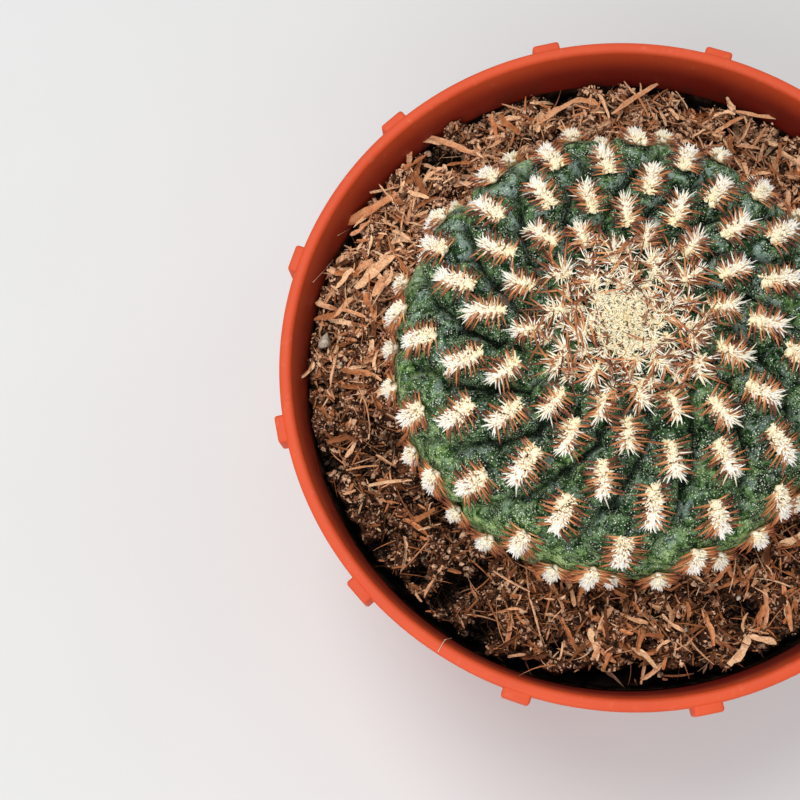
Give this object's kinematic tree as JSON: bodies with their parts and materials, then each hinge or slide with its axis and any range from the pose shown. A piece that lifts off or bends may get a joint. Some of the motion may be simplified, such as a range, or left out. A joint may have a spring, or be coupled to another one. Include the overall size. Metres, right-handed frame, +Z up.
{
  "type": "potted round cactus",
  "caption": "Round cactus with spiral ribs and comb-like spines, growing in coir in a tapered plastic pot with tabs around its rim.",
  "frame": {"origin": "middle of the pot's flat underside, on the pot's axis", "axes": "+Z up along the pot's axis; +X to the right and +Y away from the viewer as the picture shows the pot; one rim tab lies 72 degrees from +X towards +Y"},
  "size_m": [0.1512, 0.1512, 0.138],
  "materials": {
    "pot_plastic": "satin",
    "coir": "matte",
    "stem_skin": "satin",
    "wool_and_spines": "matte"
  },
  "bodies": {
    "root": {"pot": "pot_plastic", "soil": "coir", "stem": "stem_skin", "crown_tuft": "wool_and_spines", "areole_level10_rib03": "wool_and_spines", "areole_level10_rib11": "wool_and_spines", "areole_level11_rib08": "wool_and_spines", "areole_level11_rib16": "wool_and_spines", "areole_level12_rib05": "wool_and_spines", "areole_level12_rib13": "wool_and_spines", "areole_level13_rib02": "wool_and_spines", "areole_level13_rib10": "wool_and_spines", "areole_level14_rib07": "wool_and_spines", "areole_level14_rib15": "wool_and_spines", "areole_level15_rib04": "wool_and_spines", "areole_level15_rib12": "wool_and_spines", "areole_level16_rib01": "wool_and_spines", "areole_level16_rib09": "wool_and_spines", "areole_level17_rib06": "wool_and_spines", "areole_level17_rib14": "wool_and_spines", "areole_level18_rib03": "wool_and_spines", "areole_level18_rib11": "wool_and_spines", "areole_level19_rib08": "wool_and_spines", "areole_level19_rib16": "wool_and_spines", "areole_level20_rib05": "wool_and_spines", "areole_level20_rib13": "wool_and_spines", "areole_level21_rib02": "wool_and_spines", "areole_level21_rib10": "wool_and_spines", "areole_level22_rib07": "wool_and_spines", "areole_level22_rib15": "wool_and_spines", "areole_level23_rib04": "wool_and_spines", "areole_level23_rib12": "wool_and_spines", "areole_level24_rib01": "wool_and_spines", "areole_level24_rib09": "wool_and_spines", "areole_level25_rib06": "wool_and_spines", "areole_level25_rib14": "wool_and_spines", "areole_level26_rib03": "wool_and_spines", "areole_level26_rib11": "wool_and_spines", "areole_level27_rib08": "wool_and_spines", "areole_level27_rib16": "wool_and_spines", "areole_level28_rib05": "wool_and_spines", "areole_level28_rib13": "wool_and_spines", "areole_level29_rib02": "wool_and_spines", "areole_level29_rib10": "wool_and_spines", "areole_level30_rib07": "wool_and_spines", "areole_level30_rib15": "wool_and_spines", "areole_level31_rib04": "wool_and_spines", "areole_level31_rib12": "wool_and_spines", "areole_level32_rib01": "wool_and_spines", "areole_level32_rib09": "wool_and_spines", "areole_level33_rib06": "wool_and_spines", "areole_level33_rib14": "wool_and_spines", "areole_level34_rib03": "wool_and_spines", "areole_level34_rib11": "wool_and_spines", "areole_level35_rib08": "wool_and_spines", "areole_level35_rib16": "wool_and_spines", "areole_level36_rib05": "wool_and_spines", "areole_level36_rib13": "wool_and_spines", "areole_level37_rib02": "wool_and_spines", "areole_level37_rib10": "wool_and_spines"}
  },
  "joints": []
}
